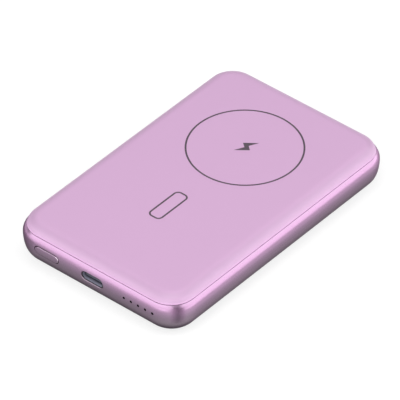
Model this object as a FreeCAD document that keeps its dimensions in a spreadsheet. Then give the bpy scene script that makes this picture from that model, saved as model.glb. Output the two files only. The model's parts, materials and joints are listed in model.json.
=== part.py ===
"""Power bank: a slim wireless-charging pack with a USB-C port, a side button and five lights.

A parametric FreeCAD document. The driving sizes are in the spreadsheet "Sizes"; every sketch,
feature and placement is bound to them, and each sub-part is written to its own STEP file.

Frame: origin at the centre of the underside, +X right, +Y away from the port, +Z up, millimetres.
"""
import FreeCAD, Part
import math
import os
from types import SimpleNamespace

import Sketcher
from FreeCAD import Vector

# Driving sizes in millimetres, degrees, counts or shares. Each is written once, here.
SIZES = {
    # How far a cut runs past the faces it goes through
    "cut_margin": 1.0,
    # Case outline and side
    "case_width": 70.0,
    "case_length": 110.0,
    "case_thickness": 16.0,
    "corner_radius": 10.3,
    "belt_height": 10.0,
    "side_radius": 18.0,
    "curl_radius": 7.8,
    "seam_height": 12.9,
    "seam_inset": 1.4,
    # Frame
    "wall_inset": 2.6,
    "rebate_width": 0.6,
    "rebate_depth": 1.5,
    "lip_inset": 6.0,
    "lip_top": 1.7,
    "lip_shelf": 1.6,
    # Top cover
    "seam_gap": 0.22,
    "cover_thickness": 1.6,
    "cover_edge_run": 4.3,
    "cover_edge_radius": 3.05,
    "cover_edge_drop": 0.63,
    "skirt_thickness": 1.0,
    "skirt_clearance": 0.05,
    "hook_length": 6.0,
    "hook_reach": 0.35,
    "hook_height": 0.8,
    "hook_rise": 0.2,
    "hook_clearance": 0.1,
    "side_hook_offset": 30.0,
    "end_hook_offset": 14.0,
    # Bottom cover
    "floor_thickness": 1.2,
    "floor_gap": 0.1,
    "floor_chamfer": 0.2,
    "flange_thickness": 0.8,
    "tray_rim": 1.3,
    "boss_diameter": 4.4,
    "boss_bore": 1.6,
    "rib_thickness": 0.9,
    # Adhesives, foam and sheets
    "tape_thickness": 0.15,
    "pad_thickness": 0.4,
    "sheet_thickness": 0.2,
    "layer_margin": 0.9,
    # Battery cell
    "cell_edge_gap": 0.6,
    "cell_thickness": 8.8,
    "cell_edge_radius": 2.0,
    "cell_gap": 2.9,
    "cell_clearance": 0.3,
    "tab_width": 5.0,
    "tab_thickness": 0.2,
    "tab_overlap": 3.0,
    "tab_spacing": 22.0,
    # Charging module
    "ring_inset": 33.6,
    "magnet_radius": 27.0,
    "magnet_width": 4.0,
    "magnet_thickness": 1.8,
    "magnet_count": 16.0,
    "magnet_pitch": 20.0,
    "magnet_gap": 0.4,
    "shield_thickness": 0.3,
    "carrier_floor": 0.6,
    "carrier_rim": 1.0,
    "carrier_clearance": 0.15,
    "coil_bore": 10.0,
    "coil_gap": 1.6,
    "coil_thickness": 1.1,
    "ferrite_margin": 0.6,
    "lead_width": 1.0,
    "lead_thickness": 0.6,
    "lead_offset": 6.0,
    "lead_bend": 1.2,
    "lead_setback": 2.6,
    "lead_foot": 0.7,
    "bar_drop": 38.6,
    "bar_width": 5.0,
    "bar_length": 15.0,
    # Board
    "board_gap": 0.5,
    "board_length": 16.0,
    "board_thickness": 1.0,
    "screw_share": 0.71,
    "screw_setback": 11.0,
    "screw_hole": 2.2,
    "screw_diameter": 1.5,
    "screw_length": 4.5,
    "screw_head_diameter": 3.6,
    "screw_head_height": 1.2,
    # USB-C socket
    "port_height": 9.05,
    "port_clearance": 0.13,
    "port_chamfer": 0.2,
    "shell_width": 8.94,
    "shell_height": 3.26,
    "shell_wall": 0.25,
    "shell_length": 8.0,
    "shell_recess": 0.4,
    "tongue_width": 6.69,
    "tongue_thickness": 0.66,
    "tongue_recess": 0.9,
    "socket_clearance": 0.02,
    "leg_length": 1.2,
    "leg_setback": 4.4,
    "leg_pitch": 2.6,
    "leg_clearance": 0.1,
    "socket_back": 1.6,
    "contact_width": 0.25,
    "contact_thickness": 0.05,
    "contact_pitch": 0.5,
    "contact_length": 3.4,
    "contact_count": 12.0,
    # Button and switch
    "button_inset": 15.8,
    "button_width": 10.2,
    "button_height": 3.2,
    "button_clearance": 0.1,
    "button_travel": 0.25,
    "button_edge_bevel": 0.15,
    "button_flange_width": 13.0,
    "button_flange_height": 2.6,
    "button_flange_thickness": 0.7,
    "button_relief": 0.5,
    "button_relief_margin": 0.2,
    "button_seat_gap": 0.02,
    "pusher_diameter": 1.8,
    "pusher_length": 1.1,
    "plunger_width": 2.0,
    "plunger_height": 1.2,
    "plunger_reach": 0.6,
    "plunger_depth": 1.5,
    "plunger_clearance": 0.05,
    "switch_width": 4.8,
    "switch_length": 3.4,
    "switch_height": 2.9,
    # Lights
    "light_inset": 15.6,
    "light_pitch": 2.95,
    "light_count": 5.0,
    "light_hole": 0.95,
    "light_pin": 0.56,
    "light_recess": 0.5,
    "guide_height": 2.4,
    "guide_depth": 1.2,
    "guide_margin": 0.9,
    "guide_gap": 0.3,
    "light_width": 1.5,
    "light_length": 0.9,
    "light_height": 2.1,
    # Parts on the board; a share is the distance from the middle as a part of half the case's width
    "component_line": 6.5,
    "inductor_share": 0.53,
    "driver_share": 0.26,
    "mosfet_share": 0.21,
    "mosfet_pitch": 4.0,
    "mosfet_count": 2.0,
    "capacitor_share": 0.61,
    "capacitor_pitch": 2.6,
    "inductor_width": 7.0,
    "inductor_height": 3.6,
    "inductor_corner": 1.4,
    "controller_width": 5.0,
    "driver_width": 4.0,
    "chip_height": 0.9,
    "mosfet_width": 3.0,
    "capacitor_length": 2.0,
    "capacitor_width": 1.25,
    "capacitor_height": 1.2,
    "capacitor_count": 4.0,
}

QUARTER_TURN = 90
FULL_TURN = 360


class Size:
    """A number with the spreadsheet formula that gives it, so one sum both draws and drives."""

    def __init__(self, number, formula):
        self.number = number
        self.formula = formula

    def __add__(self, other):
        other = as_size(other)
        return Size(self.number + other.number, f"({self.formula} + {other.formula})")

    def __sub__(self, other):
        other = as_size(other)
        return Size(self.number - other.number, f"({self.formula} - {other.formula})")

    def __mul__(self, other):
        other = as_size(other)
        return Size(self.number * other.number, f"({self.formula} * {other.formula})")

    def __truediv__(self, other):
        other = as_size(other)
        return Size(self.number / other.number, f"({self.formula} / {other.formula})")

    def __neg__(self):
        return Size(-self.number, f"(0 - {self.formula})")

    def __rsub__(self, other):
        return as_size(other) - self

    __radd__ = __add__
    __rmul__ = __mul__


def as_size(value):
    """Give a bare number the form of a Size."""
    if isinstance(value, Size):
        return value
    return Size(float(value), f"({float(value)!r})")


def root(value):
    """Square root of a Size."""
    return Size(math.sqrt(value.number), f"sqrt({value.formula})")


def cosine(angle):
    """Cosine of a Size in degrees."""
    return Size(math.cos(math.radians(angle.number)), f"cos({angle.formula})")


def tangent(angle):
    """Tangent of a Size in degrees."""
    return Size(math.tan(math.radians(angle.number)), f"tan({angle.formula})")


def make_sheet(document):
    """Write the driving sizes to the spreadsheet and hand them back as Sizes."""
    sheet = document.addObject("Spreadsheet::Sheet", "Sizes")
    named = SimpleNamespace()
    for row, (name, number) in enumerate(SIZES.items(), start=1):
        sheet.set(f"A{row}", name)
        sheet.set(f"B{row}", str(number))
        sheet.setAlias(f"B{row}", name)
        setattr(named, name, Size(number, f"Sizes.{name}"))
    document.recompute()
    return named


doc = FreeCAD.newDocument("PowerBank")
s = make_sheet(doc)

# ---------------------------------------------------------------- derived sizes
half_width = s.case_width / 2
half_length = s.case_length / 2

# Side of the case: the arc below the belt meets the curl arc where their centres line up.
shoulder_rise = s.seam_height - s.belt_height
shoulder_radius = (s.seam_inset * s.seam_inset + shoulder_rise * shoulder_rise) / (s.seam_inset * 2)
centre_gap = s.side_radius - s.curl_radius
centre_drop = s.belt_height - s.curl_radius
curl_inset = s.side_radius - root(centre_gap * centre_gap - centre_drop * centre_drop)
meet_inset = s.side_radius + (curl_inset - s.side_radius) * s.side_radius / centre_gap
meet_height = s.belt_height - centre_drop * s.side_radius / centre_gap

# Seats inside the frame
ledge_height = s.seam_height - s.rebate_depth
rebate_inset = s.wall_inset - s.rebate_width
shelf_inset = s.lip_inset - s.lip_shelf
flange_bottom = s.lip_top + s.tape_thickness
flange_top = flange_bottom + s.flange_thickness
tray_inset = s.lip_inset + s.floor_gap + s.tray_rim

# Stack inside the case, from the floor up and from the top cover down
cell_bottom = s.floor_thickness + s.pad_thickness
cell_top = cell_bottom + s.cell_thickness
sheet_top = cell_top + s.sheet_thickness
cover_underside = s.case_thickness - s.cover_thickness
carrier_top = cover_underside - s.tape_thickness
carrier_bottom = carrier_top - s.magnet_thickness - s.shield_thickness - s.carrier_floor
recess_bottom = carrier_bottom + s.carrier_floor
coil_bottom = carrier_top - s.coil_thickness

# Board and what stands on it
wall_face = half_length - s.wall_inset
board_top = s.port_height - s.shell_height / 2
board_bottom = board_top - s.board_thickness
board_front = wall_face - s.board_gap
board_back = board_front - s.board_length
screw_offset = half_width * s.screw_share
screw_line = half_length - s.screw_setback

# Battery cell: it fills the tray behind the board
cell_front = board_back - s.cell_gap
cell_back = half_length - tray_inset - s.cell_edge_gap
cell_width = (half_width - tray_inset - s.cell_edge_gap) * 2
cell_length = cell_front + cell_back

# Charging module: bar_centre counts towards the port
ring_centre = half_length - s.ring_inset
bar_centre = s.bar_drop - ring_centre
magnet_bore = s.magnet_radius - s.magnet_width
coil_radius = magnet_bore - s.coil_gap
carrier_radius = s.magnet_radius + s.carrier_clearance + s.carrier_rim
ferrite_thickness = carrier_top - s.coil_thickness - recess_bottom
ferrite_radius = coil_radius + s.ferrite_margin
channel_bottom = recess_bottom + s.shield_thickness
channel_width = s.lead_width + s.carrier_clearance * 2
lead_height = channel_bottom + s.lead_thickness / 2
tongue_end = bar_centre + s.bar_length / 2 + s.carrier_clearance + s.carrier_rim
tongue_half = s.lead_offset + channel_width / 2 + s.carrier_rim

# Button and switch, from the outside in
button_offset = half_width - s.button_inset
flange_front = wall_face + s.button_relief - s.button_seat_gap
flange_back = flange_front - s.button_flange_thickness
pusher_end = flange_back - s.pusher_length
switch_front = pusher_end - s.plunger_reach
light_offset = half_width - s.light_inset
first_light = light_offset - s.light_pitch * (s.light_count - 1) / 2
guide_front = wall_face - s.guide_gap
guide_back = guide_front - s.guide_depth
component_y = -(board_back + s.component_line)


# ---------------------------------------------------------------- modelling helpers
def bind(thing, property_name, value):
    """Bind a property to the spreadsheet."""
    thing.setExpression(property_name, as_size(value).formula)


def new_body(label):
    """Start a sub-part as a PartDesign body."""
    body = doc.addObject("PartDesign::Body", label)
    body.Label = label
    return body


def new_sketch(body, name, role, offset=0):
    """Attach a sketch to one of its body's own origin planes, moved along that plane's normal."""
    sketch = body.newObject("Sketcher::SketchObject", name)
    plane = [feature for feature in body.Origin.OriginFeatures if feature.Role == role][0]
    sketch.AttachmentSupport = (plane, [""])
    sketch.MapMode = "FlatFace"
    bind(sketch, "AttachmentOffset.Base.z", offset)
    return sketch


def pin(sketch, geometry, point, x, y):
    """Hold a point of a sketch at x, y."""
    for kind, axis, value in (("DistanceX", -2, as_size(x)), ("DistanceY", -1, as_size(y))):
        if value.number == 0 and "Sizes" not in value.formula:
            sketch.addConstraint(Sketcher.Constraint("PointOnObject", geometry, point, axis))
            continue
        held = Sketcher.Constraint(kind, -1, 1, geometry, point, value.number)
        index = sketch.addConstraint(held)
        sketch.setExpression(f"Constraints[{index}]", value.formula)


def set_radius(sketch, geometry, radius):
    """Give a circle or an arc its radius."""
    index = sketch.addConstraint(Sketcher.Constraint("Radius", geometry, radius.number))
    sketch.setExpression(f"Constraints[{index}]", radius.formula)


def draw_circle(sketch, x, y, radius):
    """Draw a circle."""
    x, y, radius = as_size(x), as_size(y), as_size(radius)
    centre = Vector(x.number, y.number, 0)
    circle = sketch.addGeometry(Part.Circle(centre, Vector(0, 0, 1), radius.number))
    pin(sketch, circle, 3, x, y)
    set_radius(sketch, circle, radius)


def arc_between(start, end, radius, turn):
    """Minor arc from start to end; turn is 1 anticlockwise and -1 clockwise, radius None half round."""
    chord = end - start
    middle = (start + end) * 0.5
    reach = chord.Length / 2 if radius is None else radius.number
    rise = math.sqrt(max(reach * reach - chord.Length * chord.Length / 4, 0))
    centre = middle + Vector(-chord.y, chord.x, 0).normalize() * rise * turn
    first, last = (start, end) if turn > 0 else (end, start)
    angles = [math.atan2(point.y - centre.y, point.x - centre.x) for point in (first, last)]
    if angles[1] <= angles[0]:
        angles[1] += 2 * math.pi
    return Part.ArcOfCircle(Part.Circle(centre, Vector(0, 0, 1), reach), *angles)


def draw_outline(sketch, corners):
    """Draw a closed outline and pin every corner.

    A corner (x, y) is reached by a line and a corner (x, y, radius, turn) by an arc.
    """
    corners = [(as_size(corner[0]), as_size(corner[1])) + tuple(corner[2:]) for corner in corners]
    points = [Vector(corner[0].number, corner[1].number, 0) for corner in corners]
    ends = []
    for index, (start, end) in enumerate(zip(points, points[1:] + points[:1])):
        target = corners[(index + 1) % len(corners)]
        if len(target) == 2:
            segment = sketch.addGeometry(Part.LineSegment(start, end))
            ends.append((segment, 1, 2))
            continue
        radius, turn = target[2:]
        segment = sketch.addGeometry(arc_between(start, end, radius, turn))
        ends.append((segment, 1, 2) if turn > 0 else (segment, 2, 1))
        if radius is not None:
            set_radius(sketch, segment, radius)
            continue
        across = "Vertical" if abs(end.y - start.y) > abs(end.x - start.x) else "Horizontal"
        sketch.addConstraint(Sketcher.Constraint(across, segment, 3, segment, 1))
    for index, (segment, first, _) in enumerate(ends):
        before, _, last = ends[index - 1]
        sketch.addConstraint(Sketcher.Constraint("Coincident", before, last, segment, first))
        pin(sketch, segment, first, *corners[index][:2])


def draw_box(sketch, x, y, width, length):
    """Draw a rectangle about x, y."""
    left, right = x - width / 2, x + width / 2
    near, far = y - length / 2, y + length / 2
    draw_outline(sketch, [(left, near), (right, near), (right, far), (left, far)])


def draw_rounded_box(sketch, x, y, width, length, radius):
    """Draw a rectangle with rounded corners about x, y."""
    left, right = x - width / 2, x + width / 2
    near, far = y - length / 2, y + length / 2
    draw_outline(sketch, [
        (left + radius, near, radius, 1),
        (right - radius, near),
        (right, near + radius, radius, 1),
        (right, far - radius),
        (right - radius, far, radius, 1),
        (left + radius, far),
        (left, far - radius, radius, 1),
        (left, near + radius),
    ])


def draw_pill(sketch, x, y, width, height):
    """Draw a slot with half-round ends about x, y."""
    straight = (width - height) / 2
    low, high = y - height / 2, y + height / 2
    draw_outline(sketch, [
        (x - straight, low, None, 1),
        (x + straight, low),
        (x + straight, high, None, 1),
        (x - straight, high),
    ])


def add_feature(body, kind, name, sketch, backwards=False):
    """Start a sketch-based feature."""
    feature = body.newObject(f"PartDesign::{kind}", name)
    feature.Profile = sketch
    feature.Reversed = backwards
    return feature


def pad(body, name, sketch, length, backwards=False, both_ways=False):
    """Pad a sketch along its normal, or against it."""
    feature = add_feature(body, "Pad", name, sketch, backwards)
    feature.Midplane = both_ways
    bind(feature, "Length", length)
    return feature


def pocket(body, name, sketch, depth, backwards=False, both_ways=False):
    """Cut a sketch against its normal, or along it."""
    feature = add_feature(body, "Pocket", name, sketch, backwards)
    feature.Midplane = both_ways
    bind(feature, "Length", depth)
    return feature


def mirror_all(body, name, role):
    """Mirror the whole body in one of its origin planes."""
    feature = body.newObject("PartDesign::Mirrored", name)
    plane = [item for item in body.Origin.OriginFeatures if item.Role == role][0]
    feature.TransformMode = "Whole shape"
    feature.MirrorPlane = (plane, [""])
    body.Tip = feature
    # The next feature needs this one's shape.
    doc.recompute()
    return feature


def dress_edges(body, kind, name, size_name, size, wanted):
    """Chamfer or fillet the edges of the body so far whose box passes the test wanted(box)."""
    doc.recompute()
    base = body.Tip
    names = [f"Edge{number}" for number, edge in enumerate(base.Shape.Edges, start=1)
             if wanted(edge.BoundBox)]
    feature = body.newObject(f"PartDesign::{kind}", name)
    feature.Base = (base, names)
    bind(feature, size_name, size)
    body.Tip = feature
    return feature


def bevel_rim(body, name, x, width, size):
    """Chamfer the outer rim of an opening or of the button in the port end."""
    middle = as_size(x).number
    reach = (width / 2 + size).number
    outside = (s.button_relief - half_length).number
    belt = s.belt_height.number

    def on_rim(box):
        """Outside, within the rim's width, and not the line where the side meets the shoulder."""
        within = max(abs(box.XMin - middle), abs(box.XMax - middle)) < reach
        return box.YMax < outside and within and abs(box.Center.z - belt) > 0.01

    dress_edges(body, "Chamfer", name, "Size", size, on_rim)


def row_of(body, name, features, role, count, pitch):
    """Repeat features in a row along one of the body's origin axes."""
    pattern = body.newObject("PartDesign::LinearPattern", name)
    axis = [item for item in body.Origin.OriginFeatures if item.Role == role][0]
    pattern.Originals = features
    pattern.Direction = (axis, [""])
    pattern.Mode = "Spacing"
    bind(pattern, "Occurrences", count)
    bind(pattern, "Offset", pitch)
    body.Tip = pattern
    return pattern


def sweep_round_case(body, draw_section, add_details):
    """Carry a wall section round the case's outline: a quarter of the ring, then two mirrors.

    draw_section(sketch, half) draws the section with its outer side at half, the centre at 0, and
    add_details(body) adds to the quarter what the mirrors repeat.
    """
    corner_y = half_length - s.corner_radius
    corner_x = half_width - s.corner_radius
    side = new_sketch(body, "SideSection", "XZ_Plane", -corner_y)
    draw_section(side, half_width)
    axis = Part.LineSegment(Vector(corner_x.number, 0, 0), Vector(corner_x.number, 1, 0))
    line = side.addGeometry(axis, True)
    pin(side, line, 1, corner_x, 0)
    pin(side, line, 2, corner_x, 1)
    pad(body, "LongSide", side, corner_y)
    corner = add_feature(body, "Revolution", "Corner", side)
    corner.ReferenceAxis = (side, ["Axis0"])
    corner.Angle = QUARTER_TURN
    end = new_sketch(body, "EndSection", "YZ_Plane", corner_x)
    draw_section(end, half_length)
    pad(body, "ShortSide", end, corner_x, backwards=True)
    add_details(body)
    mirror_all(body, "MirrorEnds", "XZ_Plane")
    mirror_all(body, "MirrorSides", "YZ_Plane")


def draw_case_plan(sketch, inset):
    """Draw the case's rounded-rectangle outline, moved in by an inset."""
    width, length = s.case_width - inset * 2, s.case_length - inset * 2
    draw_rounded_box(sketch, as_size(0), as_size(0), width, length, s.corner_radius - inset)


def case_plate(body, name, inset, bottom, thickness):
    """Pad a plate with the case's outline, moved in by an inset."""
    sketch = new_sketch(body, f"{name}Plan", "XY_Plane", bottom)
    draw_case_plan(sketch, inset)
    return pad(body, name, sketch, thickness)


def box_pad(body, name, plan, bottom, height, corner=None):
    """Pad a rectangle; plan is its centre x, y, its width and its length."""
    sketch = new_sketch(body, f"{name}Plan", "XY_Plane", bottom)
    plan = [as_size(value) for value in plan]
    if corner is None:
        draw_box(sketch, *plan)
    else:
        draw_rounded_box(sketch, *plan, corner)
    return pad(body, name, sketch, height)


def disc_pad(body, name, x, y, radius, bottom, height):
    """Pad a circle."""
    sketch = new_sketch(body, f"{name}Plan", "XY_Plane", bottom)
    draw_circle(sketch, x, y, radius)
    return pad(body, name, sketch, height)


# ---------------------------------------------------------------- casing
def draw_frame_section(sketch, half):
    """Section of the frame: shoulder, side and curl outside; lip, shelf, wall and ledge inside."""
    lip_bottom = s.curl_radius - root(
        s.curl_radius * s.curl_radius - (curl_inset - s.lip_inset) * (curl_inset - s.lip_inset))
    draw_outline(sketch, [
        (half - rebate_inset, s.seam_height),
        (half - rebate_inset, ledge_height),
        (half - s.wall_inset, ledge_height),
        (half - s.wall_inset, s.curl_radius - s.wall_inset),
        (half - shelf_inset, flange_top),
        (half - shelf_inset, s.lip_top),
        (half - s.lip_inset, s.lip_top),
        (half - s.lip_inset, lip_bottom),
        (half - meet_inset, meet_height, s.curl_radius, 1),
        (half, s.belt_height, s.side_radius, 1),
        (half - s.seam_inset, s.seam_height, shoulder_radius, 1),
    ])


def hook_section(half, clearance):
    """Corners of a snap hook on the cover's skirt, or of the frame's window with a clearance."""
    skirt = half - rebate_inset - s.skirt_clearance
    inside = skirt - s.skirt_thickness / 2
    low = ledge_height + s.hook_rise - clearance
    high = ledge_height + s.hook_rise + s.hook_height + clearance
    reach = s.hook_reach + clearance
    return [
        (inside, low),
        (skirt, low),
        (skirt + reach, low + reach),
        (skirt + reach, high),
        (inside, high),
    ]


def hook_features(body, name, make, clearance, length):
    """Make one hook or window on a long side and one on an end; the mirrors give the other six."""
    side = new_sketch(body, f"Side{name}Section", "XZ_Plane", -s.side_hook_offset)
    draw_outline(side, hook_section(half_width, clearance))
    make(body, f"Side{name}", side, length, both_ways=True)
    end = new_sketch(body, f"End{name}Section", "YZ_Plane", s.end_hook_offset)
    draw_outline(end, hook_section(half_length, clearance))
    make(body, f"End{name}", end, length, both_ways=True)


def cover_hooks(body):
    """Snap hooks on the top cover's skirt."""
    hook_features(body, "Hook", pad, as_size(0), s.hook_length)


def frame_windows(body):
    """Windows in the frame's rebate that the cover's hooks snap into."""
    hook_features(body, "Window", pocket, s.hook_clearance, s.hook_length + s.hook_clearance * 2)


def wall_cut(body, name):
    """Start a sketch just inside the port end's wall; cut_wall cuts it outwards through the wall."""
    return new_sketch(body, f"{name}Opening", "XZ_Plane", wall_face - s.cut_margin)


def cut_wall(body, name, sketch):
    """Cut a sketch from wall_cut through the wall of the port end."""
    return pocket(body, name, sketch, s.wall_inset + s.cut_margin * 2, backwards=True)


def mid_frame():
    """Band round the sides, curling under the case, with the openings in its port end."""
    body = new_body("mid_frame")
    sweep_round_case(body, draw_frame_section, frame_windows)
    port = wall_cut(body, "Port")
    clearance = s.port_clearance * 2
    draw_pill(port, as_size(0), s.port_height, s.shell_width + clearance, s.shell_height + clearance)
    cut_wall(body, "Port", port)
    bevel_rim(body, "PortBevel", 0, s.shell_width + clearance, s.port_chamfer)
    slot = wall_cut(body, "Button")
    clearance = s.button_clearance * 2
    draw_pill(slot, -button_offset, s.port_height, s.button_width + clearance,
              s.button_height + clearance)
    cut_wall(body, "ButtonSlot", slot)
    relief = new_sketch(body, "ButtonRelief", "XZ_Plane", board_back)
    margin = s.button_relief_margin * 2
    draw_box(relief, -button_offset, s.port_height, s.button_flange_width + margin,
             s.button_flange_height + margin)
    pocket(body, "Relief", relief, wall_face + s.button_relief - board_back, backwards=True)
    hole = wall_cut(body, "Light")
    draw_circle(hole, first_light, s.port_height, s.light_hole / 2)
    light = cut_wall(body, "LightHole", hole)
    row_of(body, "LightHoles", [light], "X_Axis", s.light_count, s.light_pitch)
    return body


def draw_cover_section(sketch, half):
    """Section of the top cover's edge: pillowed outside, skirt that stands in the frame's rebate."""
    foot = s.seam_height + s.seam_gap
    edge = s.cover_edge_radius
    drop = s.cover_edge_drop
    # The edge arc starts at the foot with its centre a drop below it; the crown arc ends flat.
    side = root(edge * edge - drop * drop)
    run = s.cover_edge_run - side
    rise = s.case_thickness - foot + drop
    crown = (run * run + rise * rise - edge * edge) / ((rise - edge) * 2)
    # Both arcs are tangent where the line through their centres leaves the smaller one.
    share = edge / (crown - edge)
    meet_run = side - run * share
    meet_rise = (crown - rise) * share - drop
    skirt = rebate_inset + s.skirt_clearance
    inner = skirt + s.skirt_thickness
    draw_outline(sketch, [
        (half - s.seam_inset - s.cover_edge_run, cover_underside),
        (half - inner, cover_underside),
        (half - inner, ledge_height),
        (half - skirt, ledge_height),
        (half - skirt, foot),
        (half - s.seam_inset, foot),
        (half - s.seam_inset - meet_run, foot + meet_rise, edge, 1),
        (half - s.seam_inset - s.cover_edge_run, s.case_thickness, crown, 1),
    ])


def top_cover():
    """Charging panel: a flat plate inside its pillowed edge."""
    body = new_body("top_cover")
    sweep_round_case(body, draw_cover_section, cover_hooks)
    case_plate(body, "Panel", s.seam_inset + s.cover_edge_run, cover_underside, s.cover_thickness)
    return body


def bottom_cover():
    """Flat panel in the frame's underside, glued up to its lip, with bosses for the board."""
    body = new_body("bottom_cover")
    case_plate(body, "Panel", s.lip_inset + s.floor_gap, 0, flange_top)
    case_plate(body, "Flange", shelf_inset + s.floor_gap, flange_bottom, s.flange_thickness)
    tray = new_sketch(body, "TrayPlan", "XY_Plane", s.floor_thickness)
    draw_case_plan(tray, tray_inset)
    pocket(body, "Tray", tray, flange_top, backwards=True)
    for side, sign in (("Left", -1), ("Right", 1)):
        x = screw_offset * sign
        disc_pad(body, f"{side}Boss", x, -screw_line, s.boss_diameter / 2, s.floor_thickness,
                 board_bottom - s.floor_thickness)
        bore = new_sketch(body, f"{side}BorePlan", "XY_Plane", board_bottom)
        draw_circle(bore, x, -screw_line, s.boss_bore / 2)
        pocket(body, f"{side}Bore", bore, s.screw_length)
    dress_edges(body, "Chamfer", "UnderEdge", "Size", s.floor_chamfer,
                lambda box: box.ZMax < s.floor_chamfer.number)
    stop_width = cell_width - s.cell_edge_radius * 2
    stop_y = -(cell_front + s.cell_clearance + s.rib_thickness / 2)
    box_pad(body, "CellStop", (0, stop_y, stop_width, s.rib_thickness), s.floor_thickness,
            board_bottom - s.floor_thickness)
    return body


def bottom_tape():
    """Adhesive ring between the frame's lip and the bottom cover's flange."""
    body = new_body("bottom_tape")
    case_plate(body, "Ring", shelf_inset + s.floor_gap, s.lip_top, s.tape_thickness)
    hole = new_sketch(body, "HolePlan", "XY_Plane", s.lip_top)
    draw_case_plan(hole, s.lip_inset + s.floor_gap)
    pocket(body, "Hole", hole, s.tape_thickness, backwards=True)
    return body


# ---------------------------------------------------------------- battery
def cell_plan(trim):
    """Centre, width and length of the cell's plan, smaller by a trim all round."""
    middle = (cell_back - cell_front) / 2
    return (0, middle, cell_width - trim * 2, cell_length - trim * 2)


def battery_cell():
    """Lithium polymer pouch cell."""
    body = new_body("battery_cell")
    box_pad(body, "Pouch", cell_plan(0), cell_bottom, s.cell_thickness, s.cell_edge_radius)
    return body


def cell_tabs():
    """Two tabs from the cell's front face to the board."""
    body = new_body("cell_tabs")
    reach = board_back + s.tab_overlap - cell_front
    y = -(cell_front + reach / 2)
    for side, sign in (("Negative", -1), ("Positive", 1)):
        x = s.tab_spacing * sign / 2
        box_pad(body, side, (x, y, s.tab_width, reach), board_top, s.tab_thickness)
    return body


def cell_layer(label, trim, bottom, thickness):
    """Flat layer under or over the cell."""
    body = new_body(label)
    box_pad(body, "Layer", cell_plan(trim), bottom, thickness)
    return body


# ---------------------------------------------------------------- charging module
def coil_carrier():
    """Moulded dish for the magnets and the coil, with a tongue for the bar magnet."""
    body = new_body("coil_carrier")
    height = carrier_top - carrier_bottom
    disc_pad(body, "Disc", 0, ring_centre, carrier_radius, carrier_bottom, height)
    length = ring_centre - magnet_bore + tongue_end
    box_pad(body, "Tongue", (0, length / 2 - tongue_end, tongue_half * 2, length),
            carrier_bottom, height)
    depth = carrier_top - recess_bottom
    recess = new_sketch(body, "RecessPlan", "XY_Plane", carrier_top)
    draw_circle(recess, 0, ring_centre, s.magnet_radius + s.carrier_clearance)
    pocket(body, "Recess", recess, depth)
    clearance = s.carrier_clearance * 2
    bar = new_sketch(body, "BarPocketPlan", "XY_Plane", carrier_top)
    draw_box(bar, as_size(0), -bar_centre, s.bar_width + clearance, s.bar_length + clearance)
    pocket(body, "BarPocket", bar, s.magnet_thickness)
    inner_end = ring_centre - s.coil_bore
    for side, sign in (("Left", -1), ("Right", 1)):
        groove = new_sketch(body, f"{side}GroovePlan", "XY_Plane", carrier_top)
        middle = (inner_end - tongue_end) / 2
        draw_box(groove, s.lead_offset * sign, middle, channel_width, inner_end + tongue_end)
        pocket(body, f"{side}Groove", groove, carrier_top - channel_bottom)
    return body


def centred_on_ring(label, turn=0):
    """Start a body whose own origin is the ring's centre, turned about +Z."""
    body = new_body(label)
    bind(body, "Placement.Base.y", ring_centre)
    bind(body, "Placement.Rotation.Angle", turn)
    return body


def ring_of_blocks(label, bottom, thickness, gap):
    """Flat-sided blocks side by side in a ring, open towards the port where the leads come out."""
    opening = FULL_TURN - s.magnet_pitch * s.magnet_count
    body = centred_on_ring(label, (opening + s.magnet_pitch) / 2 - QUARTER_TURN)
    plan = new_sketch(body, "BlockPlan", "XY_Plane", bottom)
    half_pitch = s.magnet_pitch / 2
    outer = s.magnet_radius * cosine(half_pitch)
    inner_half = magnet_bore * tangent(half_pitch) - as_size(gap) / 2
    outer_half = outer * tangent(half_pitch) - as_size(gap) / 2
    draw_outline(plan, [
        (magnet_bore, -inner_half),
        (outer, -outer_half),
        (outer, outer_half),
        (magnet_bore, inner_half),
    ])
    block = pad(body, "Block", plan, thickness)
    pattern = body.newObject("PartDesign::PolarPattern", "Blocks")
    axis = [item for item in body.Origin.OriginFeatures if item.Role == "Z_Axis"][0]
    pattern.Originals = [block]
    pattern.Axis = (axis, [""])
    pattern.Mode = "Spacing"
    bind(pattern, "Occurrences", s.magnet_count)
    bind(pattern, "Offset", s.magnet_pitch)
    body.Tip = pattern
    return body


def magnet_shield():
    """Steel strip under the magnets, with one flat for each."""
    return ring_of_blocks("magnet_shield", recess_bottom, s.shield_thickness, 0)


def magnet_ring():
    """Ring of separate magnets."""
    bottom = recess_bottom + s.shield_thickness
    return ring_of_blocks("magnet_ring", bottom, s.magnet_thickness, s.magnet_gap)


def bar_magnet():
    """Bar magnet that holds the phone upright."""
    body = new_body("bar_magnet")
    box_pad(body, "Bar", (0, -bar_centre, s.bar_width, s.bar_length),
            carrier_top - s.magnet_thickness, s.magnet_thickness)
    return body


def ferrite_sheet():
    """Magnetic screen under the coil, slotted for the leads."""
    body = centred_on_ring("ferrite_sheet")
    disc_pad(body, "Disc", 0, 0, ferrite_radius, recess_bottom, ferrite_thickness)
    starts = (("Outer", -1, coil_radius), ("Inner", 1, s.coil_bore))
    for name, sign, start in starts:
        slot = new_sketch(body, f"{name}SlotPlan", "XY_Plane", coil_bottom)
        length = s.magnet_radius - start + s.lead_width
        draw_box(slot, s.lead_offset * sign, -(s.magnet_radius - length / 2), channel_width, length)
        pocket(body, f"{name}Slot", slot, ferrite_thickness)
    return body


def charging_coil():
    """Flat winding of bonded wire."""
    body = centred_on_ring("charging_coil")
    plan = new_sketch(body, "WindingPlan", "XY_Plane", coil_bottom)
    draw_circle(plan, 0, 0, coil_radius)
    draw_circle(plan, 0, 0, s.coil_bore)
    pad(body, "Winding", plan, s.coil_thickness)
    return body


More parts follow.
